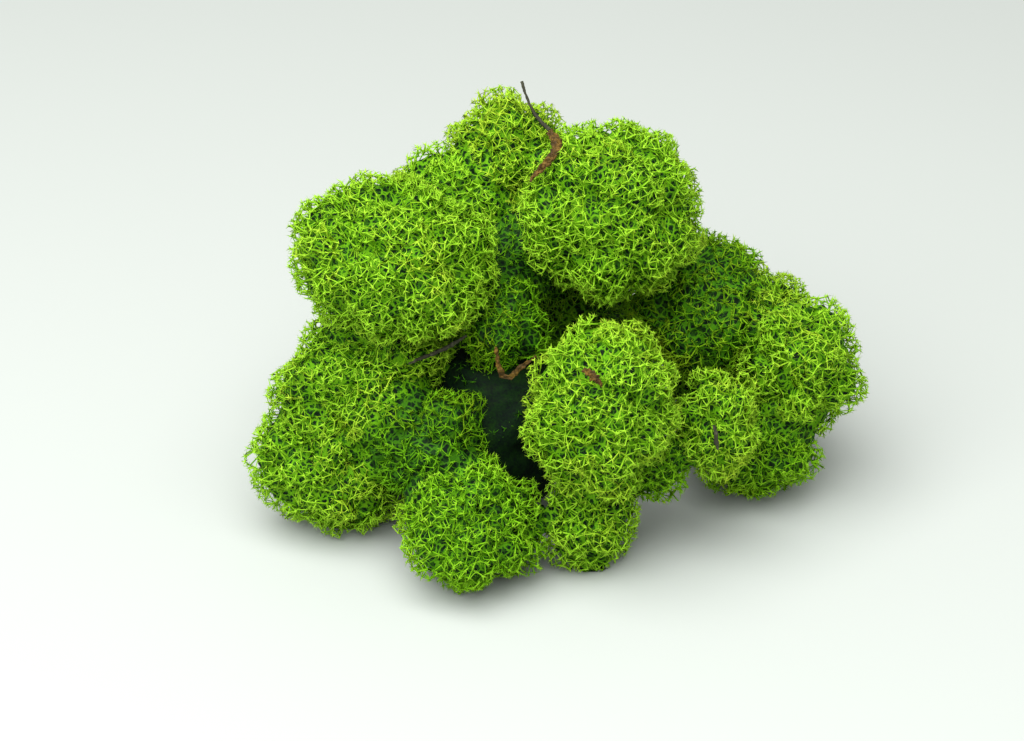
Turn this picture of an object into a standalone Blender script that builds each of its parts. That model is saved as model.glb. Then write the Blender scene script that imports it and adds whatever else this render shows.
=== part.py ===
"""A hand-sized clump of dyed reindeer lichen, the "reindeer moss" of florists, lying on a surface.

The clump is a heap of rounded tufts. Each tuft is one lichen: a dense cushion of fine branches
that spreads from the place where it was pulled from the ground, which is on its inner side. Soft
tufts press each other flat where they meet, and the lowest ones are flat where they rest. Bits of
forest litter are caught between them.

A tuft here is the closed outer shape of its branches. Lengths are in millimetres until an object
is made, which is in metres. +X is to the right, +Y to the back and +Z up.
"""

import math
from typing import NamedTuple

import bmesh
import bpy
from mathutils import Euler, Vector, noise

MM = 0.001

# The shape of every tuft
GAP = 0.3  # between tufts that touch
LUMP_HEIGHT = 0.16  # share of the radius by which a tuft bulges or dips
LUMPS_ACROSS = 1.35  # bulges in one radius of a tuft
BALL_DETAIL = 3  # subdivisions of the ball that a tuft starts from
ROOT_DEPTH = 0.8  # share of a tuft's reach at which it was pulled from the ground
SOFT_EDGE = 35  # degrees, the sharpest bend that is shaded smooth
MERGE = 1e-5  # points closer than this to a cut lie on it

HEART = Vector((2, 30, 14))  # the hollow in the middle of the heap, which the roots face
UP = Vector((0, 0, 1))

LITTER_THICKNESS = 0.4


class Tuft(NamedTuple):
    """The branches of one lichen: the middle of the cushion that they form, its half widths, and
    how it is turned about X, Y and Z in degrees."""

    name: str
    centre: tuple
    radii: tuple
    turn: tuple = (0, 0, 0)


TUFTS = (
    # The front row, which rests on the surface and leans back against the rest
    Tuft("front_low", (-13.2, 4.2, 9.8), (11.6, 10.5, 10), (0, 14, 0)),
    Tuft("front_foot", (4.9, 7.8, 8), (7.6, 7.2, 8.8)),
    Tuft("front_side", (14.2, 12.6, 15), (6.4, 6, 6.4)),
    Tuft("front_high", (6.8, 9, 26.2), (11.8, 12, 15), (0, 4, 0)),
    # The left side
    Tuft("left_low", (-33.6, 20.9, 11.6), (13, 12, 12), (0, 22, 0)),
    Tuft("left_middle", (-29, 21, 24.2), (14.9, 12, 11.5), (0, -12, 0)),
    Tuft("left_inner", (-19.5, 12.5, 18.5), (10.4, 9, 10.2)),
    Tuft("left_high", (-24.4, 22, 45), (16.2, 14.5, 12.1), (0, 10, 0)),
    # The top
    Tuft("top_left", (-15.8, 37.4, 46), (11.4, 10.2, 9.6)),
    Tuft("top_back", (-7.4, 41.2, 50.4), (10.4, 11, 12.2)),
    Tuft("top_right", (8.2, 30, 48.4), (15, 14, 14.6)),
    # The middle, deep between the others
    Tuft("middle_high", (-7, 32.5, 39), (8.5, 8, 9.5)),
    Tuft("middle_small", (-8, 23.5, 32.6), (6.8, 6.8, 8)),
    Tuft("middle_low", (-10.5, 24.5, 14.6), (13.5, 11, 16)),
    # The right side
    Tuft("right_back", (23, 40, 26.8), (12.5, 12, 12.4)),
    Tuft("right_shoulder", (32, 40, 22.8), (10.5, 11, 9.8)),
    Tuft("right_far", (37.7, 31, 21.2), (10.2, 11, 11.5)),
    Tuft("right_small", (24.2, 14.2, 20.9), (7.2, 6.9, 8.5)),
    Tuft("right_low", (30.8, 29, 9.1), (10.6, 10.5, 9.4)),
    # The back
    Tuft("back_left", (-24, 45, 27), (15, 12, 13)),
    Tuft("back_left_low", (-24.6, 46, 11.4), (14.2, 11.5, 12.6)),
    Tuft("back_middle", (3, 54, 33), (14, 12, 14)),
    Tuft("back_low", (-0.6, 56, 12.4), (15.8, 12.3, 13.4)),
    Tuft("back_right", (26, 54, 13), (12.5, 11.5, 13.8)),
)


class Twig(NamedTuple):
    """A round piece of litter: the points that it runs through and its radius at each."""

    name: str
    points: tuple
    radii: tuple


TWIGS = (
    Twig(
        "dry_stalk",
        ((-1.2, 34.2, 60.4), (-2.2, 35.4, 60.8), (-3.4, 36.4, 61.9), (-4.3, 37.4, 63.2),
         (-5.0, 38.6, 64.7), (-5.5, 39.6, 66)),
        (0.4, 0.38, 0.32, 0.26, 0.26, 0.32),
    ),
    Twig(
        "dark_twig",
        ((-13.6, 13.2, 36.9), (-15.2, 14.2, 35.2), (-16.8, 14.9, 33.8), (-18.5, 14.7, 33),
         (-20.5, 13.2, 33), (-22.2, 11.6, 33)),
        (0.25, 0.35, 0.4, 0.4, 0.35, 0.25),
    ),
    Twig(
        "twig_stub",
        ((23, 6.9, 25.2), (23.3, 6.3, 24), (23.4, 6.1, 22.6), (23.7, 6.2, 21.4)),
        (0.3, 0.4, 0.4, 0.25),
    ),
)


class Flake(NamedTuple):
    """A thin piece of litter: the points that its middle runs through, its width at each, and the
    way that its flat side faces."""

    name: str
    points: tuple
    widths: tuple
    facing: tuple


FLAKES = (
    Flake(
        "bark_scrap",
        ((-1.6, 30.6, 62), (-0.6, 27.6, 62.4), (-0.2, 25, 61.9), (-1.4, 23.8, 60.8),
         (-2.8, 23.4, 59.2), (-4.2, 23.6, 57.4)),
        (0.8, 1.7, 1.9, 1.6, 1.3, 0.5),
        (-0.4, -0.6, 0.7),
    ),
    Flake(
        "curled_leaf",
        ((-9.3, 15.6, 33.6), (-9, 15.4, 30.6), (-8.4, 15.5, 28.6), (-7.2, 15.3, 28.4),
         (-5.6, 15, 30.4), (-3.4, 14.9, 32.2)),
        (0.5, 0.9, 1.1, 1.1, 0.9, 0.5),
        (0, -1, 0.3),
    ),
    Flake(
        "bark_crumb",
        ((3.4, 1.7, 38), (4.4, 0.9, 37.6), (5.2, 0.2, 37), (6.2, -0.5, 36.2)),
        (0.6, 1.4, 1.3, 0.5),
        (0, -0.6, 0.8),
    ),
)


def turned(tuft, vector):
    """A vector of the tuft's own frame in the clump's frame."""
    return Euler([math.radians(angle) for angle in tuft.turn]).to_matrix() @ vector


def reach(tuft, direction):
    """How far a tuft without its bulges reaches from its centre along a direction."""
    turn = Euler([math.radians(angle) for angle in tuft.turn]).to_matrix()
    own = turn.transposed() @ direction.normalized()
    return Vector([a * b for a, b in zip(own, tuft.radii)]).length


def pressed_planes(tuft):
    """The flat faces, as points and outward normals, where the neighbours press on this tuft."""
    planes = []
    here = Vector(tuft.centre)
    for other in TUFTS:
        if other is tuft:
            continue
        across = Vector(other.centre) - here
        mine = reach(tuft, across) * (1 + LUMP_HEIGHT)
        theirs = reach(other, across) * (1 + LUMP_HEIGHT)
        if mine + theirs > across.length:
            normal = across.normalized()
            share = mine / (mine + theirs)
            planes.append((here + normal * (across.length * share - GAP / 2), normal))
    return planes


def root_plane(tuft):
    """The flat face, as a point and an outward normal, where the tuft was pulled from the ground."""
    inward = (HEART - Vector(tuft.centre)).normalized()
    return Vector(tuft.centre) + inward * reach(tuft, inward) * ROOT_DEPTH, inward


def cut_flat(bm, point, normal):
    """Takes away what lies past a plane and closes the cut with a flat face."""
    everything = bm.verts[:] + bm.edges[:] + bm.faces[:]
    cut = bmesh.ops.bisect_plane(
        bm, geom=everything, dist=MERGE, plane_co=point, plane_no=normal, clear_outer=True
    )
    rim = [item for item in cut["geom_cut"] if isinstance(item, bmesh.types.BMEdge)]
    if rim:
        bmesh.ops.holes_fill(bm, edges=rim, sides=0)


def tuft_mesh(tuft):
    """The lumpy cushion of a tuft, flat at its root, on the ground and against its neighbours."""
    bm = bmesh.new()
    bmesh.ops.create_icosphere(bm, subdivisions=BALL_DETAIL, radius=1)
    for vert in bm.verts:
        swell = 1 + LUMP_HEIGHT * noise.noise(vert.co * LUMPS_ACROSS + Vector(tuft.centre))
        ball = Vector([a * b for a, b in zip(vert.co, tuft.radii)])
        vert.co = Vector(tuft.centre) + turned(tuft, ball * swell)
    ground = (Vector(), -UP)
    for point, normal in (*pressed_planes(tuft), root_plane(tuft), ground):
        cut_flat(bm, point, normal)
    return bm


def flake_mesh(flake):
    """A thin strip with a rectangular section, which follows the flake's points."""
    bm = bmesh.new()
    points = [Vector(point) for point in flake.points]
    rings = []
    for index, (point, width) in enumerate(zip(points, flake.widths)):
        along = points[min(index + 1, len(points) - 1)] - points[max(index - 1, 0)]
        side = along.cross(Vector(flake.facing)).normalized()
        out = side.cross(along).normalized()
        corners = [
            point + side * (width / 2 * across) + out * (LITTER_THICKNESS / 2 * up)
            for across, up in ((-1, -1), (1, -1), (1, 1), (-1, 1))
        ]
        rings.append([bm.verts.new(corner) for corner in corners])
    for near, far in zip(rings, rings[1:]):
        for index in range(4):
            after = (index + 1) % 4
            bm.faces.new((near[index], near[after], far[after], far[index]))
    bm.faces.new(rings[0])
    bm.faces.new(rings[-1])
    return bm


def finish_for(name, colour, roughness):
    """A plain material with this colour, as linear red, green and blue."""
    material = bpy.data.materials.new(name)
    material.use_nodes = True
    shader = material.node_tree.nodes["Principled BSDF"]
    shader.inputs["Base Color"].default_value = (*colour, 1)
    shader.inputs["Roughness"].default_value = roughness
    shader.inputs["Metallic"].default_value = 0
    material.diffuse_color = (*colour, 1)
    return material


def place(obj, parent, material):
    """Puts an object in the scene, under its parent and with its material."""
    bpy.context.scene.collection.objects.link(obj)
    obj.data.materials.append(material)
    obj.parent = parent


def add_solid(bm, name, parent, material):
    """Makes an object of a mesh in millimetres, with its origin in the middle of its points."""
    bmesh.ops.recalc_face_normals(bm, faces=bm.faces)
    bmesh.ops.scale(bm, vec=(MM, MM, MM), verts=bm.verts)
    middle = sum((vert.co for vert in bm.verts), Vector()) / len(bm.verts)
    bmesh.ops.translate(bm, vec=-middle, verts=bm.verts)
    mesh = bpy.data.meshes.new(name)
    bm.to_mesh(mesh)
    bm.free()
    mesh.shade_smooth()
    mesh.set_sharp_from_angle(angle=math.radians(SOFT_EDGE))
    obj = bpy.data.objects.new(name, mesh)
    obj.location = middle
    place(obj, parent, material)


def add_twig(twig, parent, material):
    """Makes a round, tapering stem with closed ends."""
    curve = bpy.data.curves.new(twig.name, "CURVE")
    curve.dimensions = "3D"
    curve.bevel_depth = MM
    curve.bevel_resolution = 1
    curve.use_fill_caps = True
    spline = curve.splines.new("POLY")
    spline.points.add(len(twig.points) - 1)
    foot = Vector(twig.points[0])
    for knot, point, radius in zip(spline.points, twig.points, twig.radii):
        knot.co = (*((Vector(point) - foot) * MM), 1)
        knot.radius = radius
    obj = bpy.data.objects.new(twig.name, curve)
    obj.location = foot * MM
    place(obj, parent, material)


def rest_on_origin(clump):
    """Moves the clump so that the middle of its footprint is the origin."""
    bpy.context.view_layer.update()
    corners = [
        child.matrix_world @ Vector(corner) for child in clump.children for corner in child.bound_box
    ]
    low = Vector([min(corner[axis] for corner in corners) for axis in range(3)])
    high = Vector([max(corner[axis] for corner in corners) for axis in range(3)])
    clump.location = Vector((-(low.x + high.x) / 2, -(low.y + high.y) / 2, -low.z))


def main():
    for obj in list(bpy.data.objects):
        bpy.data.objects.remove(obj)
    clump = bpy.data.objects.new("clump", None)
    bpy.context.scene.collection.objects.link(clump)
    dyed_lichen = finish_for("dyed_lichen", (0.13, 0.32, 0.01), 0.85)
    twig_bark = finish_for("twig_bark", (0.045, 0.042, 0.03), 0.8)
    dead_leaf = finish_for("dead_leaf", (0.16, 0.075, 0.02), 0.75)
    for tuft in TUFTS:
        add_solid(tuft_mesh(tuft), f"tuft_{tuft.name}", clump, dyed_lichen)
    for twig in TWIGS:
        add_twig(twig, clump, twig_bark)
    for flake in FLAKES:
        add_solid(flake_mesh(flake), flake.name, clump, dead_leaf)
    rest_on_origin(clump)


main()
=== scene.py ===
"""The looks of a clump of dyed reindeer lichen: its branches, the litter caught in it, a pale
floor and soft light.

Every tuft is grown on the shape that the frame gives it. Its tips are spread in storeys over that
shape, and they are gathered inwards into stars, shoots, sprays, boughs, limbs and stems, down to
the root on the tuft's inner side. The branches darken with depth, partly as painted shade. Old
growth fills the depth as a mat, coloured near black as painted shade. Lengths are in metres.
"""

import math
from typing import NamedTuple

import bmesh
import bpy
import numpy as np
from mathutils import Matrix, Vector, noise
from mathutils.bvhtree import BVHTree
from mathutils.kdtree import KDTree


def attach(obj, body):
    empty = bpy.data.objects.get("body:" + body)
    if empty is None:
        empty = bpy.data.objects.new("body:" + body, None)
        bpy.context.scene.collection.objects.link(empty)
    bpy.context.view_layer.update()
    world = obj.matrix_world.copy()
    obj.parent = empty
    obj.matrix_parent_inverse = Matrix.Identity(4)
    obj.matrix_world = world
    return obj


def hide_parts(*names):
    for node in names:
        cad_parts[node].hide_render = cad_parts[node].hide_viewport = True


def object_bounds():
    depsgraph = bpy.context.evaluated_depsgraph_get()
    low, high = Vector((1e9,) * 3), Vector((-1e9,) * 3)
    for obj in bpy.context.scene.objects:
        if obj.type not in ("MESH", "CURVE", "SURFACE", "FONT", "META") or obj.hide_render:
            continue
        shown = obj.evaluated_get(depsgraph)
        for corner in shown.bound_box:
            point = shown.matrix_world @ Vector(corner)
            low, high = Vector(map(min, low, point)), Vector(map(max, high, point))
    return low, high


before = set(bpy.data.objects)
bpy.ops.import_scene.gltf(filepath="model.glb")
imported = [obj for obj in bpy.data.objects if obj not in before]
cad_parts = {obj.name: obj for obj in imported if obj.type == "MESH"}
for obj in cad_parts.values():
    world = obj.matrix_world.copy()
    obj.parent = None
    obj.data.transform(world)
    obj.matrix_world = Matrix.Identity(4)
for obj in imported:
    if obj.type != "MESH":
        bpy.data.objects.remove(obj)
cad_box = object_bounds()

MM = 0.001
SEED = 7
BODY = "root"
TUFT = "tuft_"  # how the frame's names of tufts begin
LICHEN = "dyed_lichen"
BARK = "twig_bark"
LEAF = "dead_leaf"
TINY = 1e-12

# The camera, which looks along +Y and down
VIEW_ELEVATION = math.radians(30)
VIEW_DISTANCE = 0.5
VIEW_WIDTH = 0.1587  # of what it sees, at the target
VIEW_TARGET = Vector((-7.38, -1.08, -11.73)) * MM  # from the middle of the clump
SENSOR = 36

# The studio
FLOOR_SIZE = 6
FLOOR_COLOUR = (0.46, 0.49, 0.46)
FLOOR_ROUGHNESS = 0.8
SKY = 0.5
SOFTBOX_PLACE = Vector((-0.13, -0.24, 0.53))
SOFTBOX_AIM = Vector((0, 0, 0.02))
SOFTBOX_SIZE = 0.75
SOFTBOX_POWER = 9


class Storey(NamedTuple):
    """A layer of tips: how deep it lies under a tuft's surface, and how far apart its tips are."""

    least: float
    most: float
    spacing: float


class Fork(NamedTuple):
    """One generation of forks: how far apart they are, how far inwards they lie from the ends of
    their branches, how far they stray, how thick the branch is there, and how many straight
    pieces lead to it."""

    spacing: float
    inwards: float
    stray: float
    radius: float
    pieces: int


STOREYS = (
    Storey(0, 0.35 * MM, 0.54 * MM),
    Storey(0.45 * MM, 0.95 * MM, 0.6 * MM),
    Storey(1.1 * MM, 1.7 * MM, 0.88 * MM),
)
PRESSED_STOREYS = (Storey(0, 0.8 * MM, 1.2 * MM),)
STARS = Fork(0.95 * MM, 0.3 * MM, 0.14 * MM, 0.13 * MM, 1)
SHOOTS = Fork(1.75 * MM, 0.42 * MM, 0.2 * MM, 0.155 * MM, 1)
SPRAYS = Fork(3.1 * MM, 0.6 * MM, 0.3 * MM, 0.19 * MM, 2)
BOUGHS = Fork(5.2 * MM, 1 * MM, 0.4 * MM, 0.25 * MM, 3)
LIMBS = Fork(8 * MM, 2 * MM, 0.5 * MM, 0.35 * MM, 3)
STEMS = Fork(12 * MM, 3 * MM, 0.5 * MM, 0.5 * MM, 3)
FORKS = (STARS, SHOOTS, SPRAYS, BOUGHS, LIMBS, STEMS)
THICK = 4  # the generation from which the branches run straighter
CURL = 0.25
THICK_CURL = 0.1
TAPER = 0.95  # of what a branch forks from, the thickness that it starts with
OWNER_NOISE = 0.18  # of the spacing, how far a branch may be from the fork nearest to it
SPLAY = 0.4  # how much the tips lean away from a tuft's middle
SIDES = 3  # of every branch

ROOT_DEPTH = 0.45  # share of the way from a tuft's middle to its inner side
ROOT_RADIUS = 0.8 * MM
ROOT_TINT = 0.5
ROOT_SPOKE = np.array([[0.3, 0.5, 0.8]])
ROOTWARD = 5 * MM  # in from the tips, where the branches run straight to the root
LONGEST_STEP = 0.5  # share of the way to the root that one fork may take
HEART = np.array([1.6, -0.8, -19]) * MM  # from the middle of the clump: what the roots face

CANDIDATES = 10 / MM**2  # places tried for a tip, to each square metre of surface
PRESSED_WITHIN = 0.6 * MM  # of a neighbour, where a tuft has no room for tips
UNDERSIDE = -0.8  # how far down a surface faces that the ground presses on
RIM = 2.5 * MM  # how far the tips reach into the seam between two tufts
GROUND_GAP = 0.05 * MM

LIFT = 2.1 * MM  # how far the longest tips stand proud of the tuft's plain shape
BOUGH_SINK = 1.1 * MM
BOUGH_DOME = 2.1 * MM
SPRAY_SINK = 0.5 * MM
SPRAY_DOME = 0.8 * MM
TIP_SINK = 0.3 * MM

SPINY = (1, 2)  # the generations that carry thorns
SPINE = 0.35 * MM
SPINE_VARIES = 0.3 * MM
SPINE_LEAN = 0.4
BRIDGES = 2  # threads at most from each star over to the next shoots
BRIDGE_TRIES = 8  # stars looked at for them
BRIDGE_REACH = 1.7 * MM
BRIDGE_BOW = 0.16 * MM
BRIDGE_RADIUS = 0.105 * MM
BRIDGE_TAPER = 0.7
NUDGE = 1e-6  # which keeps a thread from lying along its own spoke

# The light number of every branch: lighter at the tips and darker with depth, partly the older
# growth's own darker colour and partly painted shade in the depth; the tips and thorns get a
# painted glow on top
BRIGHT_DEPTH = 1 * MM  # down to which the branches are as light as they get
DIM_DEPTH = 5.5 * MM  # below that, where they are as dark as they get
TIP_GLOW = 0.15
SPINE_GLOW = 0.1
TINT = 0.22
TINT_VARIES = 0.3
TINT_SHARED = 0.75  # share of a branch's tint that comes from the branch it grows on
PATCHED = 3  # the generation at which patches of one tint are set
PATCHES = 90  # patches to each metre
PATCH_TINT = 0.45

MAT_DEPTH = 0.64 * MM
MAT_VARIES = 0.32 * MM
MAT_FOLLOWS = 0.8  # share of the tips' relief that the mat has too
RELIEF_TIPS = 8  # tips that tell the relief at a place
MAT_VOXEL = 1.4 * MM
# how light the mat gets at most: near black, as painted shade
MAT_LIGHT = 0.05
MAT_TINT = 0.4
SEAM_SLOPE = 1.5 * MM  # how far past the open surface the mats of two tufts meet
SEAM_OVERLAP = 1 * MM  # how far a mat reaches past the middle of a seam
BRANCH_PAINTED_SHADE = 0.7  # share of a tuft's painted shade that its branches have too


class Character(NamedTuple):
    """How a tuft differs from the others: how much further apart its forks are, how much painted
    shade darkens it where it lies in the others' shade, how far it has yellowed, and how deep its
    mat lies, which is less where its near-black mat closes a gap between others as painted shade."""

    coarse: float = 1
    # how far the tuft is darkened as painted shade, where it lies in the others' shade
    painted_shade: float = 0
    aged: float = 0
    mat_share: float = 1


# The tufts in the others' shade are darkened as painted shade, most of all middle_low in the dark
# crevice
CHARACTERS = {
    "front_low": Character(painted_shade=0.2),
    "front_side": Character(painted_shade=0.25),
    "front_high": Character(aged=0.1),
    "left_inner": Character(coarse=1.2, painted_shade=0.5),
    "top_back": Character(aged=0.22),
    "middle_high": Character(coarse=1.3, painted_shade=0.5, mat_share=0.6),
    "middle_small": Character(painted_shade=0.45, mat_share=0.7),
    "middle_low": Character(coarse=1.5, painted_shade=0.97, mat_share=0.2),
    "right_back": Character(coarse=1.05, painted_shade=0.35, aged=0.16, mat_share=0.7),
    "right_shoulder": Character(aged=0.14),
    "right_low": Character(painted_shade=0.2),
    "back_left": Character(coarse=1.2),
    "back_left_low": Character(coarse=1.25, mat_share=0.4),
    "back_middle": Character(coarse=1.15),
    "back_low": Character(coarse=1.3, mat_share=0.6),
    "back_right": Character(coarse=1.2),
}


def tree_of(points):
    tree = KDTree(len(points))
    for index, point in enumerate(points):
        tree.insert(point, index)
    tree.balance()
    return tree


def spaced(points, spacing, order):
    """The indices of points that keep a spacing, taken in the given order."""
    tree = tree_of(points)
    free = bytearray(b"\1" * len(points))
    kept = []
    for index in order:
        if free[index]:
            kept.append(index)
            for _, near, _ in tree.find_range(points[index], spacing):
                free[near] = 0
    return np.array(kept)


def nearest(points, centres):
    """For each point, the index of the nearest centre."""
    tree = tree_of(centres)
    return np.array([tree.find(point)[1] for point in points])


def unit(vectors):
    return vectors / np.maximum(np.linalg.norm(vectors, axis=-1, keepdims=True), TINY)


def square_to(vectors, axes):
    """The part of each vector that is square to its axis."""
    return vectors - (vectors * axes).sum(-1, keepdims=True) * axes


def group_means(values, groups, count):
    """The mean of the values in each group."""
    sums = np.zeros((count, *values.shape[1:]))
    np.add.at(sums, groups, values)
    shares = np.bincount(groups, minlength=count)
    return sums / shares.reshape(-1, *[1] * (values.ndim - 1))


def surface_points(mesh, rng):
    """Random points all over a mesh, with their normals."""
    mesh.calc_loop_triangles()
    corners = np.empty(len(mesh.loop_triangles) * 3, np.int32)
    mesh.loop_triangles.foreach_get("vertices", corners)
    places = np.empty(len(mesh.vertices) * 3, np.float32)
    mesh.vertices.foreach_get("co", places)
    triangles = places.reshape(-1, 3).astype(float)[corners.reshape(-1, 3)]
    edges = triangles[:, 1:] - triangles[:, :1]
    crosses = np.cross(edges[:, 0], edges[:, 1])
    areas = np.linalg.norm(crosses, axis=1) / 2
    count = int(areas.sum() * CANDIDATES)
    chosen = rng.choice(len(areas), count, p=areas / areas.sum())
    first, second = rng.random((2, count, 1))
    flip = first + second > 1
    first[flip], second[flip] = 1 - first[flip], 1 - second[flip]
    points = triangles[chosen, 0] + first * edges[chosen, 0] + second * edges[chosen, 1]
    return points, unit(crosses)[chosen]


def split_pressed(points, normals, neighbours):
    """Which of the points lie where the neighbours or the ground press on the tuft, past a rim,
    and a tree of the points that are free."""
    pressed = np.array([
        neighbours.find_nearest(point, PRESSED_WITHIN)[0] is not None for point in points
    ])
    pressed |= (points[:, 2] < PRESSED_WITHIN) & (normals[:, 2] < UNDERSIDE)
    free = tree_of(points[~pressed])
    past_rim = np.array([
        bool(hidden) and free.find(point)[2] > RIM for point, hidden in zip(points, pressed)
    ])
    return past_rim, free


class Grown:
    """The vertices and triangles of a tuft as they are added, with two numbers for each vertex:
    how light it is, from the depth of the tuft to the tips, which is partly the lichen's own
    colour and partly painted shade and a painted glow, and its tint, from green to yellow.
    The mat's come last."""

    def __init__(self, painted_shade):
        self.places, self.lights, self.tints, self.faces = [], [], [], []
        self.count = 0
        self.mat_points, self.mat_faces = 0, 0
        self.painted_shade = painted_shade

    def add_points(self, places, lights, tints):
        flat = places.reshape(-1, 3)
        per = len(flat) // len(lights)
        self.places.append(flat)
        self.lights.append(np.repeat(lights, per))
        self.tints.append(np.repeat(tints, per))
        start = self.count
        self.count += len(flat)
        return np.arange(start, self.count).reshape(places.shape[:-1])

    def join_rings(self, lower, upper):
        for side in range(SIDES):
            after = (side + 1) % SIDES
            self.faces.append(np.stack([lower[:, side], lower[:, after], upper[:, after]], 1))
            self.faces.append(np.stack([lower[:, side], upper[:, after], upper[:, side]], 1))

    def close_rings(self, lower, apex):
        for side in range(SIDES):
            after = (side + 1) % SIDES
            self.faces.append(np.stack([lower[:, side], lower[:, after], apex], 1))


def ring_places(centres, along, spoke, radii):
    """Rings of SIDES points round the centres, square to along, and the spokes they start from."""
    spoke = unit(square_to(spoke, along))
    other = np.cross(along, spoke)
    turns = np.arange(SIDES) * 2 * math.pi / SIDES
    rings = np.stack([
        centres + radii[:, None] * (math.cos(turn) * spoke + math.sin(turn) * other)
        for turn in turns
    ], 1)
    return rings, spoke


def branch_points(start, start_way, end, end_way, share):
    """Points at a share of the way along smooth branches, and the ways that they run there."""
    length = np.linalg.norm(end - start, axis=1, keepdims=True)
    pull, push = start_way * length, end_way * length
    s, s2, s3 = share, share**2, share**3
    place = (
        (2 * s3 - 3 * s2 + 1) * start + (s3 - 2 * s2 + s) * pull
        + (3 * s2 - 2 * s3) * end + (s3 - s2) * push
    )
    way = (
        (6 * s2 - 6 * s) * start + (3 * s2 - 4 * s + 1) * pull
        + (6 * s - 6 * s2) * end + (3 * s2 - 2 * s) * push
    )
    return place, unit(way)


def aside(points, centres, axes):
    """How far the points lie from their centres, square to the axes."""
    return np.linalg.norm(square_to(points - centres, axes), axis=1)


def tip_places(points, normals, storeys, coarse, rng):
    """The tips of some storeys under the points: their places, ways out and depths."""
    tips, ways, depths = [], [], []
    for storey in storeys:
        share = (STOREYS[0].spacing / storey.spacing) ** 2
        some = rng.permutation(len(points))[:int(len(points) * share)]
        depth = storey.least + (storey.most - storey.least) * rng.random(len(some))
        sunk = points[some] - normals[some] * depth[:, None]
        chosen = spaced(sunk, storey.spacing * coarse, range(len(sunk)))
        tips.append(sunk[chosen])
        ways.append(normals[some][chosen])
        depths.append(depth[chosen])
    return np.concatenate(tips), np.concatenate(ways), np.concatenate(depths)


class Habit(NamedTuple):
    """How a tuft's branches are gathered, one list entry to a generation from the tips inwards:
    the points they are gathered at, the ways out there, the depths, and for each generation but
    the last the index of every branch's parent."""

    anchors: list
    axes: list
    depths: list
    parents: list


def gather(tips, ways, depths, coarse, rng):
    """The habit of a tuft with these tips, their ways out and their depths."""
    habit = Habit([tips], [ways], [depths], [])
    for fork in FORKS:
        below = habit.anchors[-1]
        spacing = fork.spacing * coarse
        chosen = spaced(below, spacing, rng.permutation(len(below)))
        asked = below + rng.normal(0, 1, below.shape) * spacing * OWNER_NOISE
        owner = nearest(asked, below[chosen])
        owner[chosen] = np.arange(len(chosen))
        count = len(chosen)
        habit.parents.append(owner)
        habit.anchors.append(group_means(below, owner, count))
        habit.axes.append(unit(group_means(habit.axes[-1], owner, count)))
        habit.depths.append(group_means(habit.depths[-1], owner, count) + fork.inwards)
    return habit


def tip_sinks(habit, rng):
    """How far each tip is drawn in, so that every bough and spray ends in a small dome."""
    shoot_of = habit.parents[1][habit.parents[0]]
    spray_of = habit.parents[2][shoot_of]
    bough_of = habit.parents[3][spray_of]
    sink = rng.random(len(habit.anchors[0])) * TIP_SINK - LIFT
    for owner, level, fork, most, dome in (
        (bough_of, 4, BOUGHS, BOUGH_SINK, BOUGH_DOME),
        (spray_of, 3, SPRAYS, SPRAY_SINK, SPRAY_DOME),
    ):
        anchors, axes = habit.anchors[level], habit.axes[level]
        sink += (rng.random(len(anchors)) ** 2 * most)[owner]
        sink += (aside(habit.anchors[0], anchors[owner], axes[owner]) / fork.spacing) ** 2 * dome
    return sink


class Relief:
    """How far the branches' tips are drawn in at any place on a tuft."""

    def __init__(self, tips, sinks):
        self.tree = tree_of(tips)
        self.sinks = sinks

    def near(self, place):
        tips = self.tree.find_n(place, RELIEF_TIPS)
        return np.mean([self.sinks[index] for _, index, _ in tips])


def fork_places(habit, tips, root, coarse, rng):
    """The tips and the forks of every generation, each inwards from the ends of its branches."""
    places = [tips]
    inwards = 0
    for index, fork in enumerate(FORKS):
        place = group_means(places[-1], habit.parents[index], len(habit.anchors[index + 1]))
        inwards += fork.inwards
        to_root = root - place
        blend = min(1, inwards / ROOTWARD)
        way = unit((1 - blend) * -habit.axes[index + 1] + blend * unit(to_root))
        most = np.linalg.norm(to_root, axis=1) * LONGEST_STEP
        step = np.minimum(fork.inwards * coarse, most)
        stray = rng.normal(0, 1, place.shape) * fork.stray
        places.append(place + way * step[:, None] + stray)
    return places


def branch_tints(habit, places, aged, rng):
    """A tint for every branch, which it shares mostly with the bough that it grows on."""
    last = len(FORKS)
    patches = np.array([noise.noise(Vector(place) * PATCHES) for place in places[PATCHED]])
    tints = [None] * (last + 1)
    tints[last] = np.full(len(places[last]), TINT + aged)
    for index in reversed(range(last)):
        own = TINT + aged + TINT_VARIES * rng.normal(0, 1, len(places[index]))
        shared = tints[index + 1][habit.parents[index]]
        tints[index] = TINT_SHARED * shared + (1 - TINT_SHARED) * own
        if index == PATCHED:
            tints[index] = tints[index] + PATCH_TINT * patches
    return tints


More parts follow.
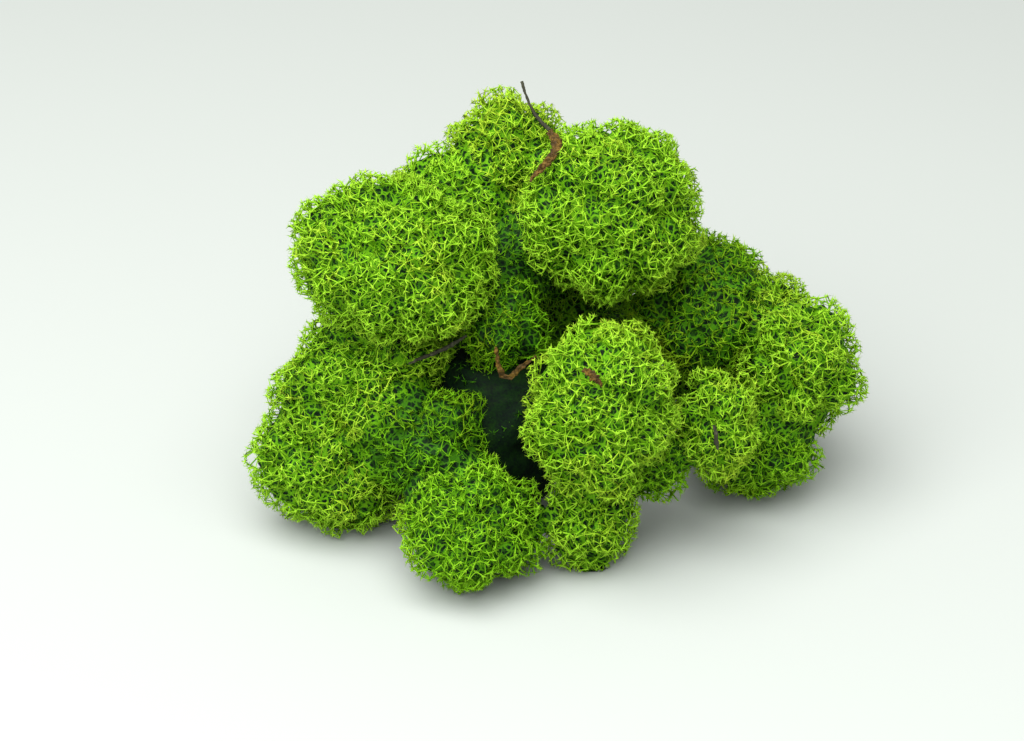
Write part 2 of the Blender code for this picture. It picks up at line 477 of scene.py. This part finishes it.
def add_branches(grown, habit, places, lights, tints, root, up, rng):
    """Every branch from the root outwards, as tapering tubes that end in points."""
    spoke = unit(np.cross(up, ROOT_SPOKE))
    rings, spoke = ring_places(root[None], up, spoke, np.array([ROOT_RADIUS]))
    ring_ids = grown.add_points(rings, np.array([0.0]), np.array([ROOT_TINT]))
    owner = np.zeros(len(places[-1]), int)
    start_place, start_way = root[None], up
    start_radius, start_light = np.array([ROOT_RADIUS]), np.array([0.0])
    for index in reversed(range(1, len(places))):
        fork = FORKS[index - 1]
        start, end, way = start_place[owner], places[index], start_way[owner]
        direct = unit(end - start)
        curl = CURL if index < THICK else THICK_CURL
        leave = unit(
            direct + 2 * curl * square_to(direct, way) + curl * rng.normal(0, 1, direct.shape)
        )
        arrive = unit(
            direct + 2 * curl * habit.axes[index] + curl * rng.normal(0, 1, direct.shape)
        )
        ring_ids, spoke = ring_ids[owner], spoke[owner]
        radius, light = start_radius[owner], start_light[owner]
        for step in range(1, fork.pieces + 1):
            share = step / fork.pieces
            place, along = branch_points(start, leave, end, arrive, share)
            radii = radius * TAPER * (1 - share) + fork.radius * share
            shade = light * (1 - share) + lights[index] * share
            rings, spoke = ring_places(place, along, spoke, radii)
            upper = grown.add_points(rings, shade, tints[index])
            grown.join_rings(ring_ids, upper)
            ring_ids = upper
            if index in SPINY and step == 1:
                add_spines(grown, upper, place, along, shade, tints[index], rng)
        start_place, start_way = end, along
        start_radius = np.full(len(end), fork.radius)
        start_light = lights[index]
        owner = habit.parents[index - 1]
    grown.close_rings(ring_ids[owner], grown.add_points(places[0], lights[0], tints[0]))


def add_spines(grown, rings, place, along, shade, tints, rng):
    """A short thorn on each of the rings."""
    aslant = unit(rng.normal(0, 1, place.shape))
    aslant = unit(square_to(aslant, along) + SPINE_LEAN * along)
    apex = place + aslant * (SPINE + SPINE_VARIES * rng.random((len(place), 1)))
    grown.close_rings(rings, grown.add_points(apex, np.minimum(shade + SPINE_GLOW, 1), tints))


def add_bridges(grown, habit, places, lights, tints, rng):
    """Threads from star to star, over the gaps between neighbouring shoots."""
    stars, owner = places[1], habit.parents[1]
    tree = tree_of(stars)
    pairs = set()
    for index, star in enumerate(stars):
        others = [
            other for _, other, gap in tree.find_n(star, BRIDGE_TRIES)
            if owner[other] != owner[index] and gap < BRIDGE_REACH
        ]
        pairs.update((min(index, other), max(index, other)) for other in others[:BRIDGES])
    starts, ends = np.array(sorted(pairs)).T
    first, last = stars[starts], stars[ends]
    along = unit(last - first)
    spoke = np.cross(along, habit.axes[1][starts] + NUDGE)
    radii = np.full(len(first), BRIDGE_RADIUS)
    lower, spoke = ring_places(first, along, spoke, radii)
    bow = rng.normal(0, 1, first.shape) * BRIDGE_BOW
    upper, _ = ring_places(last + bow, along, spoke, radii * BRIDGE_TAPER)
    tint = tints[1][starts]
    lower_ids = grown.add_points(lower, lights[1][starts], tint)
    grown.join_rings(lower_ids, grown.add_points(upper, lights[1][ends], tint))


def evened(mesh, voxel):
    """A copy of a closed mesh in small faces of one size."""
    scratch = bpy.data.objects.new("scratch", mesh)
    bpy.context.scene.collection.objects.link(scratch)
    remesh = scratch.modifiers.new("even", "REMESH")
    remesh.mode = "VOXEL"
    remesh.voxel_size = voxel
    graph = bpy.context.evaluated_depsgraph_get()
    even = bpy.data.meshes.new_from_object(scratch.evaluated_get(graph))
    bpy.data.objects.remove(scratch)
    return even


def add_mat(grown, mesh, free, sinks, share, rng):
    """The matted old growth in the depth of a tuft, at a share of the usual depth, near black as
    painted shade under the branches. It rises where neighbours press on the tuft, and meets their
    mats there."""
    even = evened(mesh, MAT_VOXEL)
    even.calc_loop_triangles()
    faces = np.array([face.vertices for face in even.loop_triangles])
    places = []
    for vert in even.vertices:
        rise = min(free.find(vert.co)[2] / SEAM_SLOPE, 1)
        depth = share * (MAT_DEPTH + MAT_VARIES * rng.random() + sinks.near(vert.co))
        places.append(vert.co - vert.normal * ((1 - rise) * depth - rise * SEAM_OVERLAP))
    bpy.data.meshes.remove(even)
    # The mat's own light stays near black: painted shade in the depth
    light = rng.random(len(places)) ** 2 * MAT_LIGHT
    ids = grown.add_points(np.array(places), light, rng.random(len(places)) * MAT_TINT)
    grown.faces.append(ids[faces])
    grown.mat_faces = len(faces)
    grown.mat_points = len(ids)


def grow_tuft(name, mesh, heart, neighbours, rng):
    """One tuft in the shape of its solid."""
    own = CHARACTERS.get(name, Character())
    points, normals = surface_points(mesh, rng)
    pressed, free = split_pressed(points, normals, neighbours)
    middle = points.mean(0)
    parts = [tip_places(points[~pressed], normals[~pressed], STOREYS, own.coarse, rng)]
    if pressed.any():
        parts.append(
            tip_places(points[pressed], normals[pressed], PRESSED_STOREYS, own.coarse, rng)
        )
    tips, ways, depths = (np.concatenate(part) for part in zip(*parts))
    ways = unit(ways + SPLAY * unit(tips - middle))
    habit = gather(tips, ways, depths, own.coarse, rng)

    sink = tip_sinks(habit, rng)
    sinks = Relief(tips, (sink + LIFT) * MAT_FOLLOWS)
    tips = tips - habit.axes[0] * sink[:, None]
    habit.depths[0] = np.maximum(habit.depths[0] + sink + LIFT - BRIGHT_DEPTH, 0)
    inward = unit(heart - middle)
    root = middle + inward * np.abs((points - middle) @ inward).max() * ROOT_DEPTH
    places = fork_places(habit, tips, root, own.coarse, rng)
    tints = branch_tints(habit, places, own.aged, rng)
    # Lighter at the tips and darker with depth: partly the lichen's own colour, partly painted
    # shade; the tips get a painted glow, and the tuft's painted shade darkens all its branches
    lights = [
        (1 - TIP_GLOW) * (1 - np.clip(depth / DIM_DEPTH, 0, 1)) for depth in habit.depths
    ]
    lights[0] = lights[0] + TIP_GLOW
    lights = [light * (1 - BRANCH_PAINTED_SHADE * own.painted_shade) for light in lights]

    grown = Grown(own.painted_shade)
    add_branches(grown, habit, places, lights, tints, root, unit(middle - root)[None], rng)
    add_bridges(grown, habit, places, lights, tints, rng)
    add_mat(grown, mesh, free, sinks, own.mat_share, rng)
    return grown


# Where a tuft's faces lie in the map named OFBake: the branches share one table of tint and light,
# and every face of the mat has a cell of its own
BAKE_MAP = "OFBake"
TABLE_LOW = np.array([0.02, 0.66])
TABLE_SIZE = np.array([0.95, 0.31])
TABLE_CORNERS = np.array([[0, 0], [1, 0], [0, 1]]) * 0.004
CELLS_SIZE = np.array([0.98, 0.6])
CELL_CORNERS = np.array([[0.08, 0.08], [0.85, 0.08], [0.08, 0.85]])


def bake_map(grown, faces):
    """Where every corner of the faces lies in that map."""
    lights, tints = np.concatenate(grown.lights), np.concatenate(grown.tints)
    table = np.stack([np.clip(tints, 0, 1), np.clip(lights, 0, 1)], 1)[faces]
    places = TABLE_LOW + table * TABLE_SIZE + TABLE_CORNERS
    cell = np.arange(grown.mat_faces)
    across = math.ceil(math.sqrt(grown.mat_faces))
    cells = np.stack([cell % across, cell // across], 1)[:, None]
    places[-grown.mat_faces:] = (cells + CELL_CORNERS) / across * CELLS_SIZE
    return places


def mesh_of(grown, name):
    """The mesh of a grown tuft, which carries the numbers that its finish reads."""
    mesh = bpy.data.meshes.new(name)
    places = np.concatenate(grown.places)
    places[:, 2] = np.maximum(places[:, 2], GROUND_GAP)
    faces = np.concatenate(grown.faces)
    mesh.vertices.add(len(places))
    mesh.vertices.foreach_set("co", places.astype(np.float32).ravel())
    mesh.loops.add(faces.size)
    mesh.loops.foreach_set("vertex_index", faces.astype(np.int32).ravel())
    mesh.polygons.add(len(faces))
    mesh.polygons.foreach_set("loop_start", np.arange(0, faces.size, 3, dtype=np.int32))
    mesh.update(calc_edges=True)
    mesh.shade_smooth()
    # The mat's light threads are faded by the tuft's painted shade
    matted = (np.arange(len(places)) >= len(places) - grown.mat_points) * (1 - grown.painted_shade)
    for label, values in (
        ("light", np.concatenate(grown.lights)),
        ("tint", np.concatenate(grown.tints)),
        ("matted", matted),
    ):
        layer = mesh.attributes.new(label, "FLOAT", "POINT")
        layer.data.foreach_set("value", values.astype(np.float32))
    layer = mesh.uv_layers.new(name=BAKE_MAP)
    layer.data.foreach_set("uv", bake_map(grown, faces).astype(np.float32).ravel())
    return mesh


NOISE_DETAIL = 4
BUMP_STRENGTH = 0.6


class Wire:
    """A shader value. Arithmetic on it adds the nodes that work the expression out."""

    def __init__(self, finish, socket):
        self.finish = finish
        self.socket = socket

    def maths(self, operation, first, second):
        return self.finish.add("ShaderNodeMath", {"operation": operation}, {0: first, 1: second})

    def __add__(self, other):
        return self.maths("ADD", self, other)

    def __radd__(self, other):
        return self.maths("ADD", other, self)

    def __sub__(self, other):
        return self.maths("SUBTRACT", self, other)

    def __rsub__(self, other):
        return self.maths("SUBTRACT", other, self)

    def __mul__(self, other):
        return self.maths("MULTIPLY", self, other)

    def __rmul__(self, other):
        return self.maths("MULTIPLY", other, self)


class Finish:
    """A material whose nodes are added one by one round its shader."""

    def __init__(self, name, gloss):
        self.material = bpy.data.materials.new(name)
        self.material.use_nodes = True
        self.tree = self.material.node_tree
        self.shader = self.tree.nodes["Principled BSDF"]
        self.feed(self.shader.inputs["Specular IOR Level"], gloss)

    def feed(self, socket, value):
        if isinstance(value, Wire):
            self.tree.links.new(value.socket, socket)
        else:
            socket.default_value = value

    def add(self, kind, settings, sockets, output=0):
        """A new node with its settings, then the values or links of its sockets."""
        node = self.tree.nodes.new(kind)
        for name, value in settings.items():
            if name == "stops":
                ramp = node.color_ramp
                for _ in value[len(ramp.elements):]:
                    ramp.elements.new(1)
                for stop, (position, colour) in zip(ramp.elements, value):
                    stop.position = position
                    stop.color = (*colour, 1)
            else:
                setattr(node, name, value)
        for name, value in sockets.items():
            self.feed(node.inputs[name], value)
        return Wire(self, node.outputs[output])

    def attribute(self, name):
        return self.add("ShaderNodeAttribute", {"attribute_name": name}, {}, "Fac")

    def place(self):
        return self.add("ShaderNodeTexCoord", {}, {}, "Object")

    def noise(self, place, scale, output="Fac"):
        sockets = {"Vector": place, "Scale": scale, "Detail": NOISE_DETAIL}
        return self.add("ShaderNodeTexNoise", {}, sockets, output)

    def ranged(self, value, low, high, to_low, to_high):
        sockets = {"Value": value, "From Min": low, "From Max": high,
                   "To Min": to_low, "To Max": to_high}
        return self.add("ShaderNodeMapRange", {}, sockets)

    def ramp(self, value, stops):
        return self.add("ShaderNodeValToRGB", {"stops": stops}, {"Fac": value})

    def blend(self, share, first, second):
        return self.add("ShaderNodeMix", {"data_type": "RGBA"}, {0: share, 6: first, 7: second}, 2)

    def threads(self, place, net):
        """The threads of a net, 1 along their middles and 0 between them."""
        cells = self.add(
            "ShaderNodeTexVoronoi", {"feature": "DISTANCE_TO_EDGE"},
            {"Vector": place, "Scale": net.scale}, "Distance",
        )
        return self.ranged(cells, net.thin, net.thick, 1, 0)

    def finish_with(self, colour, roughness, height, distance):
        """Leads the colour, the roughness and the relief of the surface to the shader."""
        self.feed(self.shader.inputs["Base Color"], colour)
        self.feed(self.shader.inputs["Roughness"], roughness)
        sockets = {"Height": height, "Distance": distance, "Strength": BUMP_STRENGTH}
        relief = self.add("ShaderNodeBump", {}, sockets, "Normal")
        self.feed(self.shader.inputs["Normal"], relief)
        return self.material


class Net(NamedTuple):
    """A net of threads on the mat: how many meshes to the metre, the shares of the mesh width
    between which a thread fades, and how light it is."""

    scale: float
    thin: float
    thick: float
    light: float


# Colours by the light number: the near-black low end is painted shade in the depth, the lime high
# end the lit tips
FRESH = (
    (0, (0.001, 0.006, 0.003)), (0.12, (0.009, 0.045, 0.002)), (0.3, (0.05, 0.19, 0.001)),
    (0.6, (0.16, 0.4, 0.004)), (1, (0.46, 0.78, 0.045)),
)
YELLOWED = (
    (0, (0.005, 0.013, 0.002)), (0.3, (0.11, 0.17, 0.003)), (0.6, (0.29, 0.39, 0.01)),
    (1, (0.62, 0.7, 0.06)),
)
YELLOW_FROM, YELLOW_TO = 0.25, 0.95  # the tints between which green turns yellow
UPPER_NET = Net(850, 0.07, 0.14, 0.45)
LOWER_NET = Net(1150, 0.06, 0.16, 0.18)
NET_RELIEF = 4
WANDER_SCALE = 600
WANDER = 0.0016  # how far the threads stray from straight
GRAIN_SCALE = 3500
GRAIN_LIGHT = 0.12
LICHEN_GLOSS = 0.12
LICHEN_RELIEF = 0.06 * MM


def dyed_lichen():
    """Lime green at the tips, dark green in the depths, partly as painted shade, and yellowed in
    patches.
    """
    finish = Finish(LICHEN, LICHEN_GLOSS)
    place = finish.place()
    matted = finish.attribute("matted")
    wander = finish.noise(place, WANDER_SCALE, "Color")
    sockets = {0: WANDER, 4: place, 5: wander}
    bent = finish.add("ShaderNodeMix", {"data_type": "VECTOR"}, sockets, 1)
    upper = finish.threads(bent, UPPER_NET)
    lower = finish.threads(bent, LOWER_NET)
    # Threads of strands on the mat, faded on tufts darkened by painted shade
    threads = matted * (UPPER_NET.light * upper + LOWER_NET.light * lower * (1 - upper))
    grain = finish.noise(place, GRAIN_SCALE)
    light = finish.attribute("light") + threads + GRAIN_LIGHT * (grain - 0.5)
    aged = finish.ranged(finish.attribute("tint"), YELLOW_FROM, YELLOW_TO, 0, 1)
    colour = finish.blend(aged, finish.ramp(light, FRESH), finish.ramp(light, YELLOWED))
    roughness = 0.62 + 0.25 * grain
    return finish.finish_with(colour, roughness, grain + NET_RELIEF * threads, LICHEN_RELIEF)


TWIG_COLOURS = (
    (0, (0.008, 0.008, 0.004)), (0.6, (0.03, 0.03, 0.015)), (1, (0.08, 0.08, 0.05)),
)
LEAF_COLOURS = (
    (0, (0.012, 0.008, 0.002)), (0.5, (0.075, 0.04, 0.006)), (1, (0.26, 0.15, 0.02)),
)
TWIG_STREAKS = (2500, 900, 900)
LEAF_STREAKS = (900, 2500, 1200)
TWIG_GLOSS = 0.3
LEAF_GLOSS = 0.25
STREAK_SHARE = 0.65  # of the colour's changes, against the blotches'
BLOTCH_SCALE = 700
MOTTLED_FROM, MOTTLED_TO = 0.3, 0.7
FIBRE_RELIEF = 0.12 * MM


def fibrous(name, stops, stretch, gloss):
    """Dead wood or leaf: streaks along it, blotches over them."""
    finish = Finish(name, gloss)
    place = finish.place()
    along = finish.add("ShaderNodeMapping", {}, {"Vector": place, "Scale": stretch})
    streaks = finish.noise(along, 1)
    blotches = finish.noise(place, BLOTCH_SCALE)
    mottled = STREAK_SHARE * streaks + (1 - STREAK_SHARE) * blotches
    colour = finish.ramp(finish.ranged(mottled, MOTTLED_FROM, MOTTLED_TO, 0, 1), stops)
    return finish.finish_with(colour, 0.55 + 0.35 * blotches, mottled, FIBRE_RELIEF)


class Litter(NamedTuple):
    """What becomes of a solid of litter: the slot of its finish, the size of its bumps and how
    high they stand."""

    slot: str
    bump: float
    height: float


LITTER = {
    "dry_stalk": Litter(BARK, 0.6 * MM, 0.09 * MM),
    "dark_twig": Litter(BARK, 0.8 * MM, 0.13 * MM),
    "twig_stub": Litter(BARK, 0.7 * MM, 0.13 * MM),
    "bark_scrap": Litter(LEAF, 0.6 * MM, 0.6 * MM),
    "curled_leaf": Litter(LEAF, 0.9 * MM, 0.35 * MM),
    "bark_crumb": Litter(LEAF, 0.6 * MM, 0.75 * MM),
}
LITTER_VOXEL = 0.11 * MM
FINE_BUMPS = 0.4  # how high the finer bumps are, against the others
FINER = 2.7  # how many times finer they are
BUMPS_MIDDLE = 0.3  # the height of bump that leaves the surface where it is


def weathered(name, solid, litter):
    """A copy of a solid with the knots, frays and dents of dead wood."""
    mesh = evened(solid.data, LITTER_VOXEL)
    mesh.name = name
    normals = [vert.normal.copy() for vert in mesh.vertices]
    for vert, normal in zip(mesh.vertices, normals):
        place = vert.co / litter.bump
        rough = noise.noise(place) + FINE_BUMPS * noise.noise(place * FINER)
        vert.co = vert.co + normal * (rough - BUMPS_MIDDLE) * litter.height
    mesh.shade_smooth()
    return mesh


def add_piece(name, mesh, material, node):
    """A piece that stands for a node of the frame."""
    mesh.materials.clear()
    mesh.materials.append(material)
    piece = bpy.data.objects.new(name, mesh)
    bpy.context.scene.collection.objects.link(piece)
    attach(piece, BODY)
    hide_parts(node)


def surface_tree(meshes):
    """A search tree of the faces of several meshes."""
    points, faces = [], []
    for mesh in meshes:
        start = len(points)
        points += [vert.co.copy() for vert in mesh.vertices]
        faces += [
            tuple(start + index for index in polygon.vertices) for polygon in mesh.polygons
        ]
    return BVHTree.FromPolygons(points, faces)


def add_lichen(middle):
    """A grown tuft for every tuft of the frame."""
    tufts = {
        name.removeprefix(TUFT): solid.data for name, solid in sorted(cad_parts.items())
        if name.startswith(TUFT)
    }
    heart = np.array(middle) + HEART
    finish = dyed_lichen()
    for number, (name, mesh) in enumerate(tufts.items()):
        neighbours = surface_tree(other for other in tufts.values() if other is not mesh)
        grown = grow_tuft(name, mesh, heart, neighbours, np.random.default_rng(SEED + number))
        piece = f"lichen_{name}"
        add_piece(piece, mesh_of(grown, piece), finish, TUFT + name)


def add_litter():
    """A weathered piece for every bit of litter."""
    finishes = {
        BARK: fibrous(BARK, TWIG_COLOURS, TWIG_STREAKS, TWIG_GLOSS),
        LEAF: fibrous(LEAF, LEAF_COLOURS, LEAF_STREAKS, LEAF_GLOSS),
    }
    for name, litter in LITTER.items():
        piece = f"old_{name}"
        mesh = weathered(piece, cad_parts[name], litter)
        add_piece(piece, mesh, finishes[litter.slot], name)


def add_floor():
    mesh = bpy.data.meshes.new("floor")
    bm = bmesh.new()
    bmesh.ops.create_grid(bm, x_segments=1, y_segments=1, size=FLOOR_SIZE / 2)
    bm.to_mesh(mesh)
    bm.free()
    material = bpy.data.materials.new("pale_floor")
    material.use_nodes = True
    shader = material.node_tree.nodes["Principled BSDF"]
    shader.inputs["Base Color"].default_value = (*FLOOR_COLOUR, 1)
    shader.inputs["Roughness"].default_value = FLOOR_ROUGHNESS
    mesh.materials.append(material)
    floor = bpy.data.objects.new("floor", mesh)
    bpy.context.scene.collection.objects.link(floor)


def add_light():
    world = bpy.data.worlds.new("studio")
    world.use_nodes = True
    background = world.node_tree.nodes["Background"]
    background.inputs["Color"].default_value = (1, 1, 1, 1)
    background.inputs["Strength"].default_value = SKY
    bpy.context.scene.world = world
    light = bpy.data.lights.new("softbox", "AREA")
    light.size = SOFTBOX_SIZE
    light.energy = SOFTBOX_POWER
    softbox = bpy.data.objects.new("softbox", light)
    bpy.context.scene.collection.objects.link(softbox)
    softbox.location = SOFTBOX_PLACE
    softbox.rotation_euler = (SOFTBOX_AIM - SOFTBOX_PLACE).to_track_quat("-Z", "Y").to_euler()


def add_camera(middle):
    lens = bpy.data.cameras.new("camera")
    lens.sensor_width = SENSOR
    lens.lens = SENSOR * VIEW_DISTANCE / VIEW_WIDTH
    camera = bpy.data.objects.new("camera", lens)
    bpy.context.scene.collection.objects.link(camera)
    back = Vector((0, -math.cos(VIEW_ELEVATION), math.sin(VIEW_ELEVATION)))
    camera.location = middle + VIEW_TARGET + back * VIEW_DISTANCE
    camera.rotation_euler = back.to_track_quat("Z", "Y").to_euler()
    bpy.context.scene.camera = camera
    bpy.context.scene.view_settings.view_transform = "Standard"


low, high = (Vector(corner) for corner in cad_box)
middle_of_clump = (low + high) / 2
add_lichen(middle_of_clump)
add_litter()
add_floor()
add_light()
add_camera(middle_of_clump)
